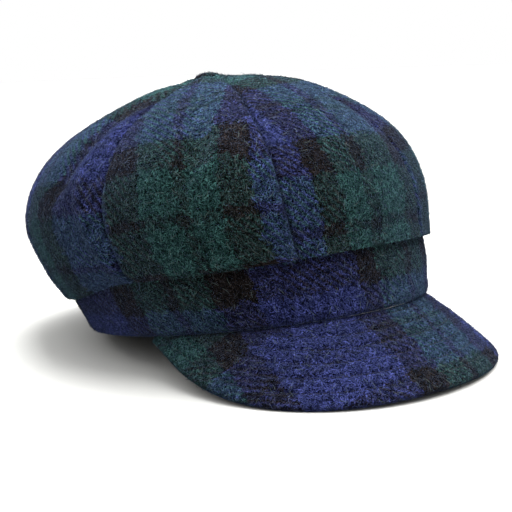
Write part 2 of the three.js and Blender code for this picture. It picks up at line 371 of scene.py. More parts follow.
def close_up(mesh):
    """Merges the sheets where they meet, fills their small open ends, and turns every face outwards."""
    merge = MERGE_WITHIN * MM
    model = bmesh.new()
    model.from_mesh(mesh)
    bmesh.ops.remove_doubles(model, verts=model.verts, dist=merge)
    bmesh.ops.dissolve_degenerate(model, edges=model.edges, dist=merge)
    open_edges = [edge for edge in model.edges if edge.is_boundary]
    ends = bmesh.ops.holes_fill(model, edges=open_edges, sides=0)["faces"]
    for end in ends:
        for loop in end.loops:
            beside = next(other for other in loop.vert.link_loops if other.face not in ends)
            for cloth_map in CLOTH_MAPS:
                layer = model.loops.layers.uv[cloth_map]
                loop[layer].uv = beside[layer].uv
    bmesh.ops.recalc_face_normals(model, faces=model.faces)
    for face in model.faces:
        face.smooth = True
    model.to_mesh(mesh)
    model.free()


def between(first, second, steps=1):
    """The sheet that joins two rows of points, which run alongside each other."""
    share = np.linspace(0, 1, steps + 1)[:, None, None]
    return Sheet(
        first.points[None] * (1 - share) + second.points[None] * share,
        first.cloth[None] * (1 - share) + second.cloth[None] * share,
    )


def row_of(sheet, row):
    return Sheet(sheet.points[row], sheet.cloth[row])


def column_of(sheet, column):
    return Sheet(sheet.points[:, column], sheet.cloth[:, column])


def facing_back(sheet):
    return Sheet(sheet.points[:, ::-1], sheet.cloth[:, ::-1])


# ---------------------------------------------------------------- crown panels

PANEL_COLUMNS = 49
PANEL_ROWS = 96
PANEL_CROWDING = 0.7  # higher crowds the columns towards the seams
HEM_ROWS = 3
HEM_LOW, HEM_HIGH = 1.0, 3.4  # the turned-under edge of a panel, from its low to its high line


def fold_lift(angle, rise, reach):
    """How far the soft folds lift the cloth at each place of a panel."""
    lift = np.zeros_like(angle)
    for fold in CROWN_FOLDS:
        share = (rise - fold.from_rise) / (fold.to_rise - fold.from_rise)
        middle = np.radians(fold.from_angle + (fold.to_angle - fold.from_angle) * share)
        aside = np.arctan2(np.sin(angle - middle), np.cos(angle - middle)) * reach
        ridge = fold.height * np.sin(np.pi * np.clip(share, 0, 1)) * np.exp(-((aside / fold.width) ** 2))
        lift += np.where((share > 0) & (share < 1), ridge, 0)
    return lift


def crease_lift(panel, angle, rise, reach):
    """How far the creases of a panel lift its cloth, and how much cloth they tuck under beside it."""
    lift, tucked = np.zeros_like(angle), np.zeros_like(angle)
    for crease in CREASES:
        if crease.panel != panel:
            continue
        share = (rise - crease.from_rise) / (crease.to_rise - crease.from_rise)
        middle = np.radians(crease.from_angle + (crease.to_angle - crease.from_angle) * share)
        aside = (angle - middle) * reach
        width = np.where(aside < 0, crease.steep, crease.soft)
        fade = np.sin(np.pi * np.clip(share, 0, 1)) ** CREASE_FADE
        dip = crease.dip * np.exp(-(((aside + DIP_AWAY) / DIP_WIDTH) ** 2))
        lift += fade * (crease.height * np.exp(-((aside / width) ** 2)) - dip)
        tucked += crease.tuck * smooth(share * 3) * smooth(0.5 - aside / crease.steep)
    return lift, tucked


def seam_relief(from_seam, along, seed):
    """How the cloth lies beside a seam: it rolls in, puckers, and shows its turned-in edge."""
    near = np.clip(1 - from_seam / SEAM_ROLL, 0, 1)
    roll = SEAM_DEPTH * (1 - np.sqrt(1 - near**2))
    step = ALLOWANCE_STEP * (1 - smooth((from_seam - ALLOWANCE) / ALLOWANCE_EDGE + 0.5))
    pucker = PUCKER_HEIGHT * np.sin(2 * np.pi * along / PUCKER_PITCH + seed)
    pucker = pucker * np.exp(-from_seam / PUCKER_REACH) * (1 - near)
    puff = SEAM_PUFF * np.exp(-(((from_seam - 1.6 * SEAM_ROLL) / SEAM_PUFF_WIDTH) ** 2))
    return step + pucker + puff - roll


def slanting_slip(sideways, up):
    """How far the slanting crease has drawn the cloth beside it up the panel."""
    aside = smooth((sideways - SLANT_FROM) / SLANT_WIDTH)
    return SLANT_SLIP * np.minimum(up / SLANT_TOP, 1) ** 2 * aside


def button_middle():
    top = CROWN_SECTIONS[-1]
    return (top.back - top.front) / 2


def crown_panel(index, from_angle, to_angle, material):
    spread = np.linspace(-1, 1, PANEL_COLUMNS)
    across = (1 - PANEL_CROWDING) * spread + PANEL_CROWDING * np.sin(np.pi / 2 * spread)
    across, rise = np.meshgrid(across, np.linspace(0, 1, PANEL_ROWS))
    section = section_at(CROWN_SECTIONS, rise)
    reach = np.maximum(section.side, SHANK_RADIUS)
    angle = (to_angle + from_angle) / 2 + across * (to_angle - from_angle) / 2
    base = surface_point(CROWN_SECTIONS, angle, rise)
    normal = surface_normal(CROWN_SECTIONS, angle, rise)

    side_run = run_along(base, 1)
    half_width = side_run[:, -1:] / 2
    sideways = side_run - side_run[:, PANEL_COLUMNS // 2][:, None]
    from_seam = np.minimum(side_run, side_run[:, -1:] - side_run)
    up = run_along(base, 0)
    up_middle = np.broadcast_to(up[:, PANEL_COLUMNS // 2][:, None], up.shape)

    held = 1 - across**8  # the seams hold the folds down
    lift = section.puff * (1 - across**2) + fold_lift(angle, rise, reach) * held
    open_cloth = smooth(half_width / RELIEF_FROM)
    relief = seam_relief(from_seam, up, index * 1.7)
    slack = SLACK_HEIGHT * waves(base, SLACK_PITCH, index) * smooth(from_seam / SLACK_EDGE)
    creased, tucked = crease_lift(index, angle, rise, reach)
    from_button = np.hypot(base[..., 0], base[..., 1] - button_middle())
    gathered = GATHER_HEIGHT * np.exp(-(((from_button - GATHER_RADIUS) / GATHER_WIDTH) ** 2))
    lift = lift + (relief + slack) * open_cloth + creased * held + gathered

    lay_along = up_middle
    if index == SLANTED_PANEL:
        lay_along = up_middle - slanting_slip(sideways, up_middle)
    cloth = cut_from(PANEL_CUTS[index], sideways - tucked, lay_along)
    outer = Sheet(base + normal * lift[..., None], cloth)
    fold_room = CLOTH_WALL * np.clip(1 - rise * (len(CROWN_SECTIONS) - 1), 0, 1)
    raised = np.stack([0 * fold_room, 0 * fold_room, fold_room], -1)
    inner = Sheet(base + normal * (lift - CLOTH_WALL)[..., None] + raised, cloth)

    hem_low = hem_row(row_of(outer, 0), HEM_LOW)
    hem_high = hem_row(row_of(outer, 0), HEM_HIGH)
    name = f"panel_{index + 1}_cloth"
    sheets = [
        outer,
        inner,
        between(row_of(outer, 0), hem_low, HEM_ROWS),
        between(hem_low, hem_high, HEM_ROWS),
        between(hem_high, row_of(inner, 0), HEM_ROWS),
        between(row_of(outer, -1), row_of(inner, -1)),
    ]
    for column in (0, -1):
        sheets.append(between(column_of(outer, column), column_of(inner, column)))
    return piece_from(name, sheets, material), [outer]


def hem_row(foot, above):
    """Where the panel's turned-under hem lies against the band."""
    fold = CROWN_SECTIONS[0]
    angle = np.arctan2(foot.points[:, 0] / fold.side, -foot.points[:, 1] / fold.front)
    height = foot.points[:, 2] + above
    rise = np.minimum(height / BAND_SECTIONS[-1].z_front, 1)
    points = surface_point(BAND_SECTIONS, angle, rise)
    points = points + surface_normal(BAND_SECTIONS, angle, rise) * PIECE_GAP
    points[:, 2] = height
    return Sheet(points, foot.cloth - [0, above, 0, above])


# ---------------------------------------------------------------- the band

BAND_COLUMNS = 253
BAND_ROWS = 22


def band(material):
    angle = np.linspace(-np.pi, np.pi, BAND_COLUMNS)
    angle, rise = np.meshgrid(angle, np.linspace(0, 1, BAND_ROWS))
    base = surface_point(BAND_SECTIONS, angle, rise)
    normal = surface_normal(BAND_SECTIONS, angle, rise)
    flat = unit(normal * [1, 1, 0])
    around = run_along(base, 1)
    from_front = around - around[:, BAND_COLUMNS // 2][:, None]
    height = run_along(base, 0)
    half_wall = BAND_WALL / 2
    below_round = np.clip(half_wall - height, 0, None)
    round_foot = half_wall - np.sqrt(np.clip(half_wall**2 - below_round**2, 0, None))
    proud_foot = FOOT_BULK * np.exp(-(((height - FOOT_BULK_HEIGHT) / FOOT_BULK_WIDTH) ** 2))
    slack = BAND_SLACK * waves(base * [1, 1, 0], BAND_SLACK_PITCH, 5) * smooth(height / BAND_SLACK_EDGE)
    from_back = np.minimum(around, around[:, -1:] - around)
    back_seam = BACK_SEAM_DEPTH * np.clip(1 - from_back / SEAM_ROLL, 0, 1) ** 2
    mean_front = np.broadcast_to(from_front[BAND_ROWS // 2], from_front.shape)
    cloth = cut_from(BAND_CUT, mean_front, height)
    outer = Sheet(base + flat * (slack + proud_foot - round_foot - back_seam)[..., None], cloth)
    inner = Sheet(base - flat * (BAND_WALL - round_foot)[..., None], cloth)
    top = between(row_of(outer, -1), row_of(inner, -1), 2)
    foot = between(row_of(outer, 0), row_of(inner, 0))
    return piece_from("band_cloth", [outer, inner, top, foot], material), [outer]


# ---------------------------------------------------------------- the peak

PEAK_COLUMNS = 169
PEAK_ROWS = 71
NOSE_ROWS = 9


def peak_length(angle):
    turned = np.abs(angle) / math.radians(PEAK_END_ANGLE)
    return PEAK_LENGTH * (1 - turned**PEAK_SQUARENESS) ** PEAK_TIP_POWER


def peak_frame(angle):
    """The peak's sewn edge, the way it runs out, and the way its upper side faces."""
    rim = BAND_SECTIONS[0]
    fall = np.radians(PEAK_FRONT_FALL + PEAK_SIDE_FALL * (1 - np.cos(angle)))[:, None]
    flat = np.stack([rim.front * np.sin(angle), -rim.side * np.cos(angle), 0 * angle], -1)
    outward = unit(flat)
    upward = np.array([0.0, 0.0, 1.0])
    start = surface_point(BAND_SECTIONS, angle, 0 * angle) - outward * PEAK_TUCK - upward * PEAK_DROP
    run = outward * np.cos(fall) - upward * np.sin(fall)
    up = outward * np.sin(fall) + upward * np.cos(fall)
    return start, run, up


def third_corner(a, b, solid_a, solid_b, solid_c, side):
    """The flat place of solid_c beside the flat edge a to b, at its true distances."""
    base = np.linalg.norm(solid_b - solid_a)
    to_a, to_b = np.linalg.norm(solid_c - solid_a), np.linalg.norm(solid_c - solid_b)
    along = (to_a**2 - to_b**2 + base**2) / (2 * base)
    aside = math.sqrt(max(to_a**2 - along**2, 0))
    edge = (b - a) / np.linalg.norm(b - a)
    return a + edge * along + np.array([-edge[1], edge[0]]) * aside * side


def flattened(start, run):
    """Lays the peak's surface out flat: the flat place of its sewn edge and its flat run."""
    far = 50.0
    ends = start + run * far
    middle = len(start) // 2
    near, away = np.zeros((len(start), 2)), np.zeros((len(start), 2))
    away[middle] = [0, -far]
    for side, order in ((1, range(middle + 1, len(start))), (-1, range(middle - 1, -1, -1))):
        for k in order:
            j = k - side
            near[k] = third_corner(near[j], away[j], start[j], ends[j], start[k], side)
            away[k] = third_corner(away[j], near[k], ends[j], start[k], ends[k], -side)
    return near, (away - near) / far


def quilting(out, length):
    """The shallow channels that the rows of stitches press into the cover."""
    from_edge = length - out
    row = np.round(from_edge / STITCH_ROW_GAP)
    in_row = (row >= 1) & (row <= STITCH_ROWS) & (out > STITCH_START)
    aside = from_edge - row * STITCH_ROW_GAP
    return np.where(in_row, -QUILT_DEPTH * np.exp(-((aside / QUILT_WIDTH) ** 2)), 0)


def peak_cloth(flat):
    """The cloth of the peak: stretched over the board, its weft bows towards the peak's ends."""
    across, along = flat[..., 0], flat[..., 1]
    return cut_from(PEAK_CUT, across, along - PEAK_BOW * np.maximum(across, 0) ** 2)


def peak_angles(columns):
    last = PEAK_CUT_SHARE * math.radians(PEAK_END_ANGLE)
    crowding = math.pi / 2 * PEAK_CROWDING
    return last * np.sin(crowding * np.linspace(-1, 1, columns)) / math.sin(crowding)


def peak(material):
    angle = peak_angles(PEAK_COLUMNS)
    start, run, up = peak_frame(angle)
    near, flat_run = flattened(start, run)
    length = peak_length(angle) + PEAK_TUCK
    thickness = PEAK_THICKNESS * np.clip(length / PEAK_THINNING, PEAK_THINNEST, 1)
    nose = thickness / 2

    def cover(out, drop):
        """A sheet at out along each run and drop below the upper side, row by row."""
        points = start + run * out[..., None] - up * drop[..., None]
        return Sheet(points, peak_cloth(near + flat_run * out[..., None]))

    def upper_drop(out):
        share = out / (length - nose)
        crowned = COVER_CROWN * np.sin(np.pi * share) * smooth(length / FULL_LENGTH)
        ripple = waves(start + run * out[..., None], COVER_SLACK_PITCH, 3)
        slack = COVER_SLACK * ripple * smooth(out / COVER_SLACK_EDGE)
        return -quilting(out, length) - crowned - slack

    def under_drop(out):
        share = out / (length - nose)
        crowned = UNDER_CROWN * np.sin(np.pi * share) * smooth(length / FULL_LENGTH)
        return thickness + quilting(out, length) - crowned

    out = np.linspace(0, 1, PEAK_ROWS)[:, None] * (length - nose)
    upper = cover(out, upper_drop(out))
    under = cover(out, under_drop(out))
    bend = np.linspace(0, np.pi, NOSE_ROWS)[:, None]
    first, last = upper.points[-1], under.points[-1]
    middle = (first + last) / 2
    radius = (first - last) / 2
    swing = run * nose[:, None]
    nose_points = middle + radius * np.cos(bend)[..., None] + swing * np.sin(bend)[..., None]
    nose_cloth = peak_cloth(near + flat_run * ((length - nose) + nose * bend)[..., None])
    edge = Sheet(nose_points, nose_cloth)
    sheets = [upper, under, edge, between(row_of(upper, 0), row_of(under, 0))]
    sheets += [between(column_of(upper, column), column_of(under, column)) for column in (0, -1)]
    piece = piece_from("peak_cloth", sheets, material)

    sewn = []
    for row in range(1, STITCH_ROWS + 1):
        out = (length - row * STITCH_ROW_GAP)[None]
        inside = out[0] > STITCH_START
        for drop, lift in ((upper_drop, -1), (under_drop, 1)):
            line = cover(out, drop(out) + lift * THREAD_THICKNESS / 4)
            sewn.append(line.points[0][inside])
    return piece, [facing_back(upper), under, edge], sewn


# ---------------------------------------------------------------- the covered button

BUTTON_COLUMNS = 65
DOME_ROWS = 14
RIM_ROWS = 6


def top_button(material):
    top = CROWN_SECTIONS[-1]
    seat = np.array([0, button_middle(), top.z_side])
    dome_height = BUTTON_HEIGHT - BUTTON_RIM
    rim_top = BUTTON_FOOT + BUTTON_RIM
    dome = [
        (BUTTON_RADIUS * math.sin(bend), rim_top + dome_height * math.cos(bend) ** BUTTON_FLATNESS)
        for bend in np.linspace(0, np.pi / 2, DOME_ROWS)
    ]
    rim = [
        (BUTTON_RADIUS - BUTTON_RIM * (1 - math.cos(bend)), rim_top - BUTTON_RIM * math.sin(bend))
        for bend in np.linspace(0, np.pi / 2, RIM_ROWS)[1:]
    ]
    shank = [
        (SHANK_RADIUS, BUTTON_FOOT),
        (SHANK_RADIUS, BUTTON_FOOT - SHANK_DEPTH),
        (0, BUTTON_FOOT - SHANK_DEPTH),
    ]
    profile = np.array([(0, BUTTON_FOOT + BUTTON_HEIGHT)] + dome[1:] + rim + shank)
    radius, height = profile[:, :1], profile[:, 1:]
    angle = np.linspace(0, 2 * np.pi, BUTTON_COLUMNS)[None]
    pleat = 1 - np.abs(np.cos(BUTTON_PLEATS / 2 * angle))
    gather = 1 - BUTTON_PLEAT_DEPTH * (radius / BUTTON_RADIUS) ** 4 * pleat
    x, y = radius * gather * np.sin(angle), -radius * gather * np.cos(angle)
    points = np.stack([x, y, height + 0 * angle], -1) + seat
    cap = Sheet(points, cut_from(BUTTON_CUT, x, -y))
    return piece_from("button_cloth", [cap], material), [facing_back(cap)]


# ---------------------------------------------------------------- materials


def linear(code):
    """An sRGB hex colour as linear numbers."""
    parts = [int(code[i : i + 2], 16) / 255 for i in (1, 3, 5)]
    return [p / 12.92 if p <= 0.04045 else ((p + 0.055) / 1.055) ** 2.4 for p in parts] + [1.0]


def add(tree, kind, settings=None, inputs=()):
    """Adds a node, gives it its settings, and links or sets its inputs, by name or in their order.
    A node among the inputs stands for its first output."""
    node = tree.nodes.new(kind)
    for key, value in (settings or {}).items():
        setattr(node, key, value)
    for key, value in inputs.items() if isinstance(inputs, dict) else enumerate(inputs):
        if isinstance(value, bpy.types.Node):
            value = value.outputs[0]
        if isinstance(value, bpy.types.NodeSocket):
            tree.links.new(value, node.inputs[key])
        else:
            node.inputs[key].default_value = value
    return node


def empty_tree(owner):
    """The node tree of a material or a world, with nothing in it."""
    owner.use_nodes = True
    owner.node_tree.nodes.clear()
    return owner.node_tree


MATHS, VECTOR, MIX, RANGE = "ShaderNodeMath", "ShaderNodeVectorMath", "ShaderNodeMix", "ShaderNodeMapRange"
SPLIT, NOISE, CELLS = "ShaderNodeSeparateXYZ", "ShaderNodeTexNoise", "ShaderNodeTexVoronoi"
PLUS, MINUS, TIMES, OVER, TIMES_PLUS, POWER, TO_AND_FRO, SIZE_OF, LARGER, SMALLER = (
    {"operation": operation}
    for operation in (
        "ADD", "SUBTRACT", "MULTIPLY", "DIVIDE", "MULTIPLY_ADD",
        "POWER", "PINGPONG", "ABSOLUTE", "MAXIMUM", "MINIMUM",
    )
)
FLAT_NOISE, FLAT_CELLS = {"noise_dimensions": "2D"}, {"voronoi_dimensions": "2D"}
EASED = {"interpolation_type": "SMOOTHSTEP"}  # the range's inputs: value, low, high, result at each
BLENDED = {"data_type": "RGBA"}
TINTED = {"data_type": "RGBA", "blend_type": "MULTIPLY"}
DARKENED = {"data_type": "RGBA", "blend_type": "DARKEN"}

BLUE, BLACK, GREEN = "#141730", "#0b0909", "#11201f"
LINE = "#0b0d0d"  # the fine dark lines, felted into their ground
FAINT_LINE = "#0d0e1a"

UNDYED = "#55605f"  # kemp and the palest fibres
BLOOM = "#93abdc"  # the light that raised fibres catch

# Half of the sett, from the middle of a green stripe to the middle of a blue one, in threads.
WARP_SETT = [(LINE, 2), (GREEN, 15), (BLACK, 14), (BLUE, 22)]
WEFT_SETT = [(LINE, 2), (GREEN, 19), (BLACK, 14), (BLUE, 17), (FAINT_LINE, 3), (BLUE, 2)]


def place_in(tree, cloth_map):
    """Where a point lies on one of the cloth's maps, in millimetres."""
    place = add(tree, "ShaderNodeAttribute", {"attribute_name": cloth_map})
    return add(tree, VECTOR, {"operation": "SCALE"}, {0: place.outputs["Vector"], 3: 1 / MM})


def thread_colour(tree, place, sett):
    """The colour of the thread at a place across the tartan, in millimetres."""
    count = sum(threads for _, threads in sett)
    folded = add(tree, MATHS, TO_AND_FRO, (place, count * THREAD_PITCH))
    share = add(tree, MATHS, OVER, (folded, count * THREAD_PITCH))
    ramp = add(tree, "ShaderNodeValToRGB", inputs=[share])
    ramp.color_ramp.interpolation = "CONSTANT"
    stops = ramp.color_ramp.elements
    passed = 0
    for index, (colour, threads) in enumerate(sett):
        stop = stops[0] if index == 0 else stops.new(passed / count)
        stop.position = passed / count
        stop.color = linear(colour)
        passed += threads
    stops.remove(stops[-1])
    return ramp


# Milling felts the threads into each other, so the stripes run into their neighbours: how often
# their edges wander to the millimetre, and how far at the most, in millimetres.
STRIPE_WANDER = ((0.1, 8.0), (0.45, 8.5))


def tartan(tree):
    """The dye of the thread that lies on top at a place on the cloth, and how high it rides."""
    mm = place_in(tree, "cloth")
    moved = place_in(tree, "sett")
    for per_mm, reach in STRIPE_WANDER:
        wander = add(tree, NOISE, FLAT_NOISE, {"Vector": mm, "Scale": per_mm}).outputs["Color"]
        centred = add(tree, VECTOR, PLUS, (moved, (-reach / 2, -reach / 2, 0.0)))
        moved = add(tree, VECTOR, TIMES_PLUS, (wander, (reach, reach, 0.0), centred))
    place = add(tree, SPLIT, inputs=[moved])
    warp = thread_colour(tree, place.outputs[0], WARP_SETT)
    weft = thread_colour(tree, place.outputs[1], WEFT_SETT)
    # A 2/2 twill: each thread passes over two and under two, and the steps run down to the right.
    straight = add(tree, SPLIT, inputs=[mm])
    steps = add(tree, MATHS, PLUS, (straight.outputs[0], straight.outputs[1]))
    folded = add(tree, MATHS, TO_AND_FRO, (steps, 2 * THREAD_PITCH))
    rib = add(tree, MATHS, OVER, (folded, 2 * THREAD_PITCH))
    wear_here = add(tree, NOISE, FLAT_NOISE, {"Vector": mm, "Scale": 0.035})
    worn = add(tree, RANGE, EASED, (wear_here, 0.42, 0.62, 0.25, 1.3))
    felt = add(tree, NOISE, FLAT_NOISE, {"Vector": mm, "Scale": 1.1, "Detail": 3.0})
    felted = add(tree, MATHS, TIMES_PLUS, (felt, 2.6, -1.3))
    ridge = add(tree, MATHS, TIMES, (add(tree, MATHS, MINUS, (rib, 0.5)), worn))
    on_top = add(tree, RANGE, EASED, (add(tree, MATHS, PLUS, (ridge, felted)), -0.55, 0.55, 0.1, 0.9))
    mixed = add(tree, MIX, BLENDED, {0: on_top, 6: warp, 7: weft}).outputs[2]
    # The warp is the tighter of the two, so its dark stripes stay dark wherever they are crossed.
    dye = add(tree, MIX, DARKENED, {0: 0.2, 6: mixed, 7: warp}).outputs[2]
    # The darker fibres of the mixture gather in patches some 5 mm across.
    gathered = add(tree, NOISE, FLAT_NOISE, {"Vector": mm, "Scale": 0.2, "Detail": 4.0, "Roughness": 0.6})
    patch = add(tree, RANGE, EASED, (gathered, 0.38, 0.62, 0.72, 1.28))
    return add(tree, MIX, TINTED, {0: 1.0, 6: dye, 7: patch}).outputs[2], rib


# Layers of drawn fibres: the net that spaces them, their length and their width.
STROKES = ((0.8, 1.2, 0.24), (1.1, 1.6, 0.26), (1.5, 2.3, 0.28), (2.3, 3.4, 0.26))
STROKE_BOW = 0.35  # how far a fibre bends, as a share of its length
KEMP = (4.2, 4.4, 0.26)  # the same three sizes for the coarse undyed fibres


def strokes(tree, mm, net, length, width, x, y):
    """Short bent fibres that lie every way, one in each cell of a random net, and a number for each."""
    moved = add(tree, VECTOR, PLUS, (mm, (x, y, 0.0)))
    cells = add(tree, CELLS, FLAT_CELLS, {"Vector": moved, "Scale": 1 / net})
    from_middle = add(tree, VECTOR, MINUS, (moved, cells.outputs["Position"]))
    own = add(tree, "ShaderNodeSeparateColor", inputs=[cells.outputs["Color"]])
    angle = add(tree, MATHS, TIMES, (own, math.tau))
    about_z = {"rotation_type": "Z_AXIS"}
    turned = add(tree, "ShaderNodeVectorRotate", about_z, {"Vector": from_middle, "Angle": angle})
    along = add(tree, SPLIT, inputs=[turned])
    bow = add(tree, MATHS, TIMES, (add(tree, MATHS, TIMES, (along, along)), STROKE_BOW / length))
    aside = add(tree, MATHS, SIZE_OF, [add(tree, MATHS, PLUS, (along.outputs[1], bow))])
    from_waist = add(tree, MATHS, SIZE_OF, [along])
    thin = add(tree, RANGE, EASED, (aside, 0.2 * width, width, 1.0, 0.0))
    ends = add(tree, RANGE, EASED, (from_waist, 0.3 * length, 0.55 * length, 1.0, 0.0))
    return add(tree, MATHS, TIMES, (thin, ends)), own.outputs[1]


def wool(name):
    """Milled woollen twill: dyed in the wool, so every thread mixes lighter and darker fibres, and
    felted, so single fibres lie over the weave and it has a pale bloom where it turns away. The
    fibres are drawn up to 0.3 mm wide, which is coarser than wool's 0.03 mm, so that they show."""
    material = bpy.data.materials.new(name)
    tree = empty_tree(material)
    mm = place_in(tree, "cloth")
    dye, rib = tartan(tree)
    top, light = 0.0, 0.0
    for index, (net, length, width) in enumerate(STROKES):
        fibre, number = strokes(tree, mm, net, length, width, 17.3 * index, 5.1 * index)
        lit = add(tree, MATHS, TIMES, (fibre, add(tree, MATHS, POWER, (number, 2.2))))
        light = add(tree, MATHS, PLUS, (light, lit))
        top = add(tree, MATHS, LARGER, (top, fibre))
    flecks = add(tree, CELLS, FLAT_CELLS, {"Vector": mm, "Scale": 1 / 0.7})
    fleck = add(tree, "ShaderNodeSeparateColor", inputs=[flecks.outputs["Color"]])
    melange = add(tree, NOISE, FLAT_NOISE, {"Vector": mm, "Scale": 0.5, "Detail": 5.0})
    mottled = add(tree, RANGE, EASED, (melange, 0.3, 0.7, 0.15, 0.9))
    ground = add(tree, MATHS, TIMES, (mottled, add(tree, MATHS, TIMES_PLUS, (fleck, 1.3, 0.35))))
    gain = add(tree, MATHS, TIMES_PLUS, (light, 3.3, ground))
    shade = add(tree, MIX, TINTED, {0: 1.0, 6: dye, 7: gain}).outputs[2]
    # A few coarse undyed fibres run through the yarn.
    kemp, number = strokes(tree, mm, *KEMP, 3.0, 41.0)
    undyed = add(tree, RANGE, EASED, (number, 0.55, 0.95, 0.0, 0.34))
    pale = add(tree, MATHS, TIMES, (kemp, undyed))
    colour = add(tree, MIX, BLENDED, {0: pale, 6: shade, 7: linear(UNDYED)}).outputs[2]
    raised = add(tree, MATHS, PLUS, (melange, add(tree, MATHS, TIMES, (top, 0.6))))
    height = add(tree, MATHS, TIMES_PLUS, (rib, 0.3, raised))
    relief = add(tree, "ShaderNodeBump", inputs={"Strength": 0.9, "Distance": 0.5 * MM, "Height": height})
    surface = add(tree, "ShaderNodeBsdfPrincipled", inputs={
        "Base Color": colour,
        "Roughness": 0.92,
        "Specular IOR Level": 0.0,
        "Sheen Weight": 0.12,
        "Sheen Roughness": 0.2,
        "Sheen Tint": linear(BLOOM),
        "Normal": relief,
    })
    add(tree, "ShaderNodeOutputMaterial", inputs={"Surface": surface})
    return material


# ---------------------------------------------------------------- raised fibres and stitches


def rod(name, spine, widths, sides):
    """A thin closed rod along an upright spine, pointed at both ends, with its width between them."""
    points = [spine[0]]
    for (x, y, z), width in zip(spine[1:-1], widths):
        for side in range(sides):
            angle = math.tau * side / sides
            points.append((x + width / 2 * math.cos(angle), y + width / 2 * math.sin(angle), z))
    points.append(spine[-1])
    faces = []
    last_ring = len(points) - 1 - sides
    for side in range(sides):
        after = (side + 1) % sides
        faces.append((0, 1 + after, 1 + side))
        faces.append((last_ring + side, last_ring + after, len(points) - 1))
        for low in range(1, last_ring, sides):
            faces.append((low + side, low + after, low + sides + after, low + sides + side))
    mesh = bpy.data.meshes.new(name)
    mesh.from_pydata([tuple(MM * value for value in point) for point in points], [], faces)
    mesh.shade_smooth()
    return in_scene(name, mesh)


def collected(name, shapes):
    group = bpy.data.collections.new(name)
    for shape in shapes:
        group.objects.link(shape)
    return group


def new_tree(name, inputs):
    """An empty geometry tree with named inputs, and its input and output nodes."""
    tree = bpy.data.node_groups.new(name, "GeometryNodeTree")
    tree.interface.new_socket("Geometry", in_out="OUTPUT", socket_type="NodeSocketGeometry")
    for label, kind in inputs.items():
        tree.interface.new_socket(label, in_out="INPUT", socket_type="NodeSocket" + kind)
    return tree, tree.nodes.new("NodeGroupInput").outputs, tree.nodes.new("NodeGroupOutput").inputs


FLOOR_CLEARANCE = 0.8  # no fibre grows lower than this above the surface that the cap rests on


def nap_tree():
    """Fibres raised from a sheet of cloth: each stands at a random place and leans its own way."""
    tree, given, result = new_tree("raised_nap", {
        "Cloth": "Geometry", "Fibres to the square metre": "Float",
        "Least lean": "Float", "Most lean": "Float", "Smallest": "Float", "Largest": "Float",
        "Longest shape": "Float", "Fibre shapes": "Collection", "Finish": "Material", "Seed": "Int"})
    height = add(tree, SPLIT, inputs=[add(tree, "GeometryNodeInputPosition")]).outputs[2]
    clear = add(tree, "FunctionNodeCompare", {"operation": "GREATER_THAN"}, (height, FLOOR_CLEARANCE * MM))
    roots = add(tree, "GeometryNodeDistributePointsOnFaces", inputs={
        "Mesh": given["Cloth"], "Selection": clear,
        "Density": given["Fibres to the square metre"], "Seed": given["Seed"]})
    chance = [
        add(tree, "FunctionNodeRandomValue", {"data_type": "FLOAT"}, {2: low, 3: high, 8: seed}).outputs[1]
        for seed, (low, high) in enumerate((
            (given["Least lean"], given["Most lean"]), (0.0, math.tau),
            (given["Smallest"], given["Largest"]), (0.0, 1.0)))
    ]
    lean, spin, size, tone = chance
    # Near the surface that the cap rests on, the fibres are rubbed short.
    room = add(tree, MATHS, OVER, (height, given["Longest shape"]))
    size = add(tree, MATHS, SMALLER, (size, room))
    turned = add(tree, "ShaderNodeCombineXYZ", inputs={1: lean, 2: spin})
    tilt = add(tree, "FunctionNodeEulerToRotation", inputs=[turned])
    facing = add(tree, "FunctionNodeRotateRotation", {"rotation_space": "LOCAL"},
                 (roots.outputs["Rotation"], tilt))
    shapes = add(tree, "GeometryNodeCollectionInfo", inputs={
        "Collection": given["Fibre shapes"], "Separate Children": True, "Reset Children": True})
    fibres = add(tree, "GeometryNodeInstanceOnPoints", inputs={
        "Points": roots, "Instance": shapes, "Pick Instance": True, "Rotation": facing, "Scale": size})
    toned = add(tree, "GeometryNodeStoreNamedAttribute", {"data_type": "FLOAT", "domain": "INSTANCE"},
                {"Geometry": fibres, "Name": "tone", "Value": tone})
    real = add(tree, "GeometryNodeRealizeInstances", inputs={"Geometry": toned})
    dressed = add(tree, "GeometryNodeSetMaterial", inputs={"Geometry": real, "Material": given["Finish"]})
    tree.links.new(dressed.outputs[0], result[0])
    return tree


def stitch_tree():
    """Stitches along the edges of a mesh: one lies along each pitch of the line."""
    tree, given, result = new_tree("sewn_rows", {
        "Rows": "Geometry", "Pitch": "Float", "Stitch": "Object", "Finish": "Material"})
    lines = add(tree, "GeometryNodeMeshToCurve", inputs={"Mesh": given["Rows"]})
    places = add(tree, "GeometryNodeCurveToPoints", {"mode": "LENGTH"},
                 {"Curve": lines, "Length": given["Pitch"]})
    along = add(tree, "FunctionNodeAlignRotationToVector", {"axis": "Z"},
                {"Vector": places.outputs["Tangent"]})
    stitch = add(tree, "GeometryNodeObjectInfo", inputs={"Object": given["Stitch"]})
    sewn = add(tree, "GeometryNodeInstanceOnPoints", inputs={
        "Points": places, "Instance": stitch.outputs["Geometry"], "Rotation": along})
    real = add(tree, "GeometryNodeRealizeInstances", inputs={"Geometry": sewn})
    dressed = add(tree, "GeometryNodeSetMaterial", inputs={"Geometry": real, "Material": given["Finish"]})
    tree.links.new(dressed.outputs[0], result[0])
    return tree


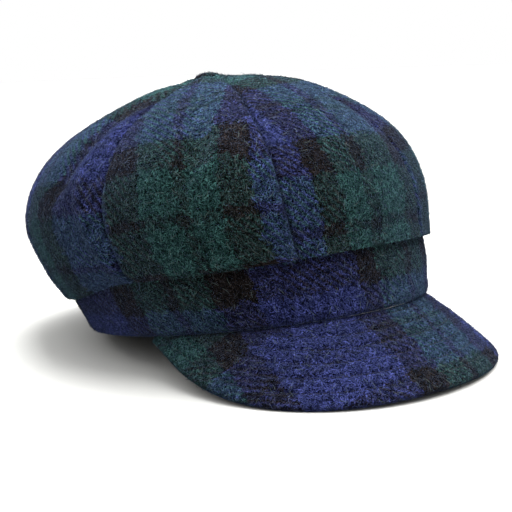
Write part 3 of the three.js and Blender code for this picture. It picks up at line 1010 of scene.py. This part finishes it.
def grown(name, base, tree, settings):
    """Runs a tree on a mesh and keeps what it makes as a plain piece."""
    ground = in_scene(name + "_ground", base)
    modifier = ground.modifiers.new("growth", "NODES")
    modifier.node_group = tree
    sockets = {item.name: item.identifier for item in tree.interface.items_tree if item.in_out == "INPUT"}
    for label, value in settings.items():
        modifier[sockets[label]] = value
    seen = bpy.context.evaluated_depsgraph_get()
    mesh = bpy.data.meshes.new_from_object(
        ground.evaluated_get(seen), preserve_all_data_layers=True, depsgraph=seen)
    mesh.name = name
    bpy.data.objects.remove(ground)
    return in_scene(name, mesh)


def loose_fibres(name):
    """Wool fibres that milling and wear have raised from the face of the cloth. They carry the dye
    of the thread they come from, and some are paler than the cloth because they catch the light."""
    material = bpy.data.materials.new(name)
    tree = empty_tree(material)
    dye, _ = tartan(tree)
    tone = add(tree, "ShaderNodeAttribute", {"attribute_name": "tone"}).outputs["Fac"]
    gain = add(tree, MATHS, TIMES_PLUS, (add(tree, MATHS, POWER, (tone, 2.0)), 3.9, 0.25))
    shade = add(tree, MIX, TINTED, {0: 1.0, 6: dye, 7: gain}).outputs[2]
    pale = add(tree, RANGE, EASED, (tone, 0.8, 1.0, 0.0, 0.25))
    colour = add(tree, MIX, BLENDED, {0: pale, 6: shade, 7: linear(UNDYED)}).outputs[2]
    surface = add(tree, "ShaderNodeBsdfPrincipled", inputs={
        "Base Color": colour, "Roughness": 0.8, "Specular IOR Level": 0.0,
        "Sheen Weight": 0.4, "Sheen Roughness": 0.3, "Sheen Tint": linear(BLOOM)})
    add(tree, "ShaderNodeOutputMaterial", inputs={"Surface": surface})
    return material


THREAD = "#0a0c16"
# Painted shade: the light and dark that falls on the twisted plies is painted into the thread's colour, and
# this is its scale, which comes round every 10 mm or so. A real twist of 0.8 mm is too fine to show.
PLY_SHADE_TO_THE_METRE = 62.5


def sewing_thread(name):
    """Spun polyester sewing thread, dark to match the cloth, of two plies twisted together, with the shade
    of the twist painted into its colour in bands.
    """
    material = bpy.data.materials.new(name)
    tree = empty_tree(material)
    place = add(tree, "ShaderNodeTexCoord").outputs["Object"]
    plies = add(tree, "ShaderNodeTexWave", {"bands_direction": "DIAGONAL"},
                {"Vector": place, "Scale": PLY_SHADE_TO_THE_METRE})
    # Painted shade: the thread's colour is darkened in diagonal bands, standing in for the shade between
    # its twisted plies.
    shade = add(tree, RANGE, EASED, (plies.outputs["Fac"], 0.2, 0.8, 0.4, 1.0))
    colour = add(tree, MIX, TINTED, {0: 1.0, 6: linear(THREAD), 7: shade}).outputs[2]
    surface = add(tree, "ShaderNodeBsdfPrincipled", inputs={
        "Base Color": colour, "Roughness": 0.7, "Specular IOR Level": 0.15})
    add(tree, "ShaderNodeOutputMaterial", inputs={"Surface": surface})
    return material


# ---------------------------------------------------------------- camera, light and floor

CAMERA_DISTANCE = 627  # from the middle of the rim
CAMERA_ROUND = 36.7  # degrees to the wearer's right of straight ahead
CAMERA_ABOVE = 6.0  # degrees above the rim plane
CAMERA_ROLL = 7.9
CAMERA_YAW = 0.2
CAMERA_PITCH = 2.7
FOCAL_SHARE = 2.17  # focal length over the picture's width
SENSOR = 36.0
CEILING, WALLS = 3.4, 0.3  # how bright the room is overhead and from the side


def camera():
    around, above, roll, yaw, nod = map(
        math.radians, (CAMERA_ROUND, CAMERA_ABOVE, CAMERA_ROLL, CAMERA_YAW, CAMERA_PITCH))
    right = np.array([math.cos(around), -math.sin(around), 0])
    level_back = np.array([-math.sin(around), -math.cos(around), 0])
    back = level_back * math.cos(above) + np.array([0, 0, math.sin(above)])
    up = np.cross(back, right)
    right, up = right * math.cos(roll) - up * math.sin(roll), right * math.sin(roll) + up * math.cos(roll)
    place = placed(back * CAMERA_DISTANCE)
    right, back = right * math.cos(yaw) + back * math.sin(yaw), back * math.cos(yaw) - right * math.sin(yaw)
    up, back = up * math.cos(nod) + back * math.sin(nod), back * math.cos(nod) - up * math.sin(nod)
    axes = np.stack([turn @ right, turn @ up, turn @ back], 1)
    data = bpy.data.cameras.new("camera")
    data.sensor_width = SENSOR
    data.lens = SENSOR * FOCAL_SHARE
    data.clip_start = 0.01
    view = in_scene("camera", data)
    view.matrix_world = Matrix.Translation(place) @ Matrix(axes.tolist()).to_4x4()
    bpy.context.scene.camera = view


def lamp(name, kind, place, towards, settings):
    data = bpy.data.lights.new(name, kind)
    for key, value in settings.items():
        setattr(data, key, value)
    light = in_scene(name, data)
    light.location = place
    light.rotation_euler = Vector(towards).to_track_quat("-Z", "Y").to_euler()


def softboxes():
    """A broad soft light from overhead, which falls off nowhere on the floor, and a near one that
    reaches over the crown from behind."""
    broad = {"angle": math.radians(60), "energy": 7.2}
    lamp("broad_softbox", "SUN", (0, 0, 1), (-0.4, 0.2, -1.0), broad)
    near = {"size": 0.3, "energy": 5.6}
    lamp("near_softbox", "AREA", (0.06, 0.13, cad_high[2] + 0.26), (-0.06, -0.13, -0.26), near)


def white_room():
    """A room with a bright ceiling and dim walls. What the camera sees of it is plain white paper."""
    world = bpy.data.worlds.new("white_room")
    tree = empty_tree(world)
    way = add(tree, SPLIT, inputs=[add(tree, "ShaderNodeTexCoord")])
    rise = add(tree, MATHS, LARGER, (way.outputs[2], 0.0))
    lit = add(tree, MATHS, TIMES_PLUS, (rise, CEILING - WALLS, WALLS))
    seen = add(tree, "ShaderNodeLightPath").outputs["Is Camera Ray"]
    strength = add(tree, MIX, {"data_type": "FLOAT"}, {0: seen, 2: lit, 3: 1.0})
    paper = add(tree, "ShaderNodeBackground", inputs={"Color": (1, 1, 1, 1), "Strength": strength})
    add(tree, "ShaderNodeOutputWorld", inputs={"Surface": paper})
    bpy.context.scene.world = world
    bpy.context.scene.view_settings.view_transform = "Standard"


FLOOR_RADIUS = 6.0
FLOOR_SIDES = 96


def floor():
    """A disc of matt grey paper, plain and without gloss."""
    material = bpy.data.materials.new("matt_grey_paper")
    tree = empty_tree(material)
    surface = add(tree, "ShaderNodeBsdfPrincipled", inputs={
        "Base Color": linear("#9a9a98"), "Roughness": 0.9})
    add(tree, "ShaderNodeOutputMaterial", inputs={"Surface": surface})
    angles = [math.tau * side / FLOOR_SIDES for side in range(FLOOR_SIDES)]
    rim = [(FLOOR_RADIUS * math.cos(angle), FLOOR_RADIUS * math.sin(angle), 0) for angle in angles]
    mesh = bpy.data.meshes.new("floor")
    mesh.from_pydata(rim, [], [list(range(FLOOR_SIDES))])
    mesh.materials.append(material)
    in_scene("floor", mesh)


# ---------------------------------------------------------------- making the cap


def wear(piece, node=None):
    """Sets a piece on the cap. Where a node is named, the piece stands for it."""
    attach(piece, "root")
    if node:
        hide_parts(node)


camera()
softboxes()
white_room()
floor()
tartan_wool = wool("milled_woollen_twill")
fibre_finish = loose_fibres("raised_wool_fibres")

dressed = []
turns = [-angle for angle in reversed(SEAM_ANGLES)] + SEAM_ANGLES
for index, from_angle in enumerate(turns):
    to_angle = turns[index + 1] if index + 1 < len(turns) else turns[0] + 360
    piece, faces = crown_panel(index, math.radians(from_angle), math.radians(to_angle), tartan_wool)
    dressed.append((piece, faces, f"crown_panel_{index + 1}", "tartan_crown"))
dressed.append((*band(tartan_wool), "band", "tartan_band"))
peak_piece, peak_faces, sewn_rows = peak(tartan_wool)
dressed.append((peak_piece, peak_faces, "peak", "tartan_peak"))
dressed.append((*top_button(tartan_wool), "top_button", "tartan_button"))

# Wool fibres are 0.03 mm thick. These are drawn some 0.2 mm thick, as a lock of them, so that they
# show.
short_fibres = [
    rod("short_fibre_a", [(0, 0, 0), (0.35, 0, 1.2), (0.1, 0, 2.4)], [0.22], 3),
    rod("short_fibre_b", [(0, 0, 0), (-0.4, 0.2, 0.9), (0.3, 0.1, 2.0)], [0.22], 3),
    rod("short_fibre_c", [(0, 0, 0), (0.2, 0.5, 1.6), (-0.3, -0.2, 3.0)], [0.20], 3),
]
taper = [0.22, 0.2, 0.18, 0.14]
long_fibres = [
    rod("long_fibre_a", [
        (0, 0, 0), (0.7, 0, 1.8), (0.4, 0.9, 3.6), (-0.8, 0.6, 5.2), (-1.0, -0.8, 6.4), (0.2, -1.2, 7.6),
    ], taper, 3),
    rod("long_fibre_b", [
        (0, 0, 0), (-0.5, 0.6, 1.6), (0.6, 1.4, 3.2), (1.8, 0.9, 4.3), (2.0, -0.6, 5.2), (1.0, -1.6, 6.2),
    ], taper, 3),
]
nap = nap_tree()

# What grows from the cloth: how many fibres to the square metre, how far they lean at the least, in
# degrees, and the height of their longest shape.
Growth = namedtuple("Growth", "label shapes density least_lean longest seed")
GROWTHS = (
    Growth("nap", collected("short_fibres", short_fibres), 8.0e5, 74, 3.2, 10),
    Growth("kemp", collected("long_fibres", long_fibres), 4.0e3, 80, 8.2, 50),
)
for index, (piece, faces, node, slot) in enumerate(dressed):
    wear(piece, node)
    for growth in GROWTHS:
        name = piece.name.replace("cloth", growth.label)
        fibres = grown(name, mesh_from(name, faces), nap, {
            "Fibres to the square metre": growth.density,
            "Least lean": math.radians(growth.least_lean), "Most lean": math.radians(89),
            "Smallest": 0.5, "Largest": 1.0, "Longest shape": growth.longest * MM,
            "Fibre shapes": growth.shapes, "Finish": fibre_finish, "Seed": growth.seed + index})
        wear(fibres)

stitch_spine = [(0, 0, STITCH_LENGTH * share) for share in (-1 / 2, -1 / 3, 0, 1 / 3, 1 / 2)]
stitch_shape = rod("stitch", stitch_spine, [THREAD_THICKNESS * share for share in (0.7, 1, 0.7)], 6)
rows = bpy.data.meshes.new("sewn_rows")
first, points, edges = 0, [], []
for line in sewn_rows:
    points.append(placed(line))
    edges += [(first + k, first + k + 1) for k in range(len(line) - 1)]
    first += len(line)
rows.from_pydata(np.concatenate(points).tolist(), edges, [])
stitches = grown("peak_stitches", rows, stitch_tree(), {
    "Pitch": STITCH_PITCH * MM, "Stitch": stitch_shape, "Finish": sewing_thread("spun_sewing_thread")})
wear(stitches)

for shape in short_fibres + long_fibres + [stitch_shape]:
    bpy.data.objects.remove(shape)
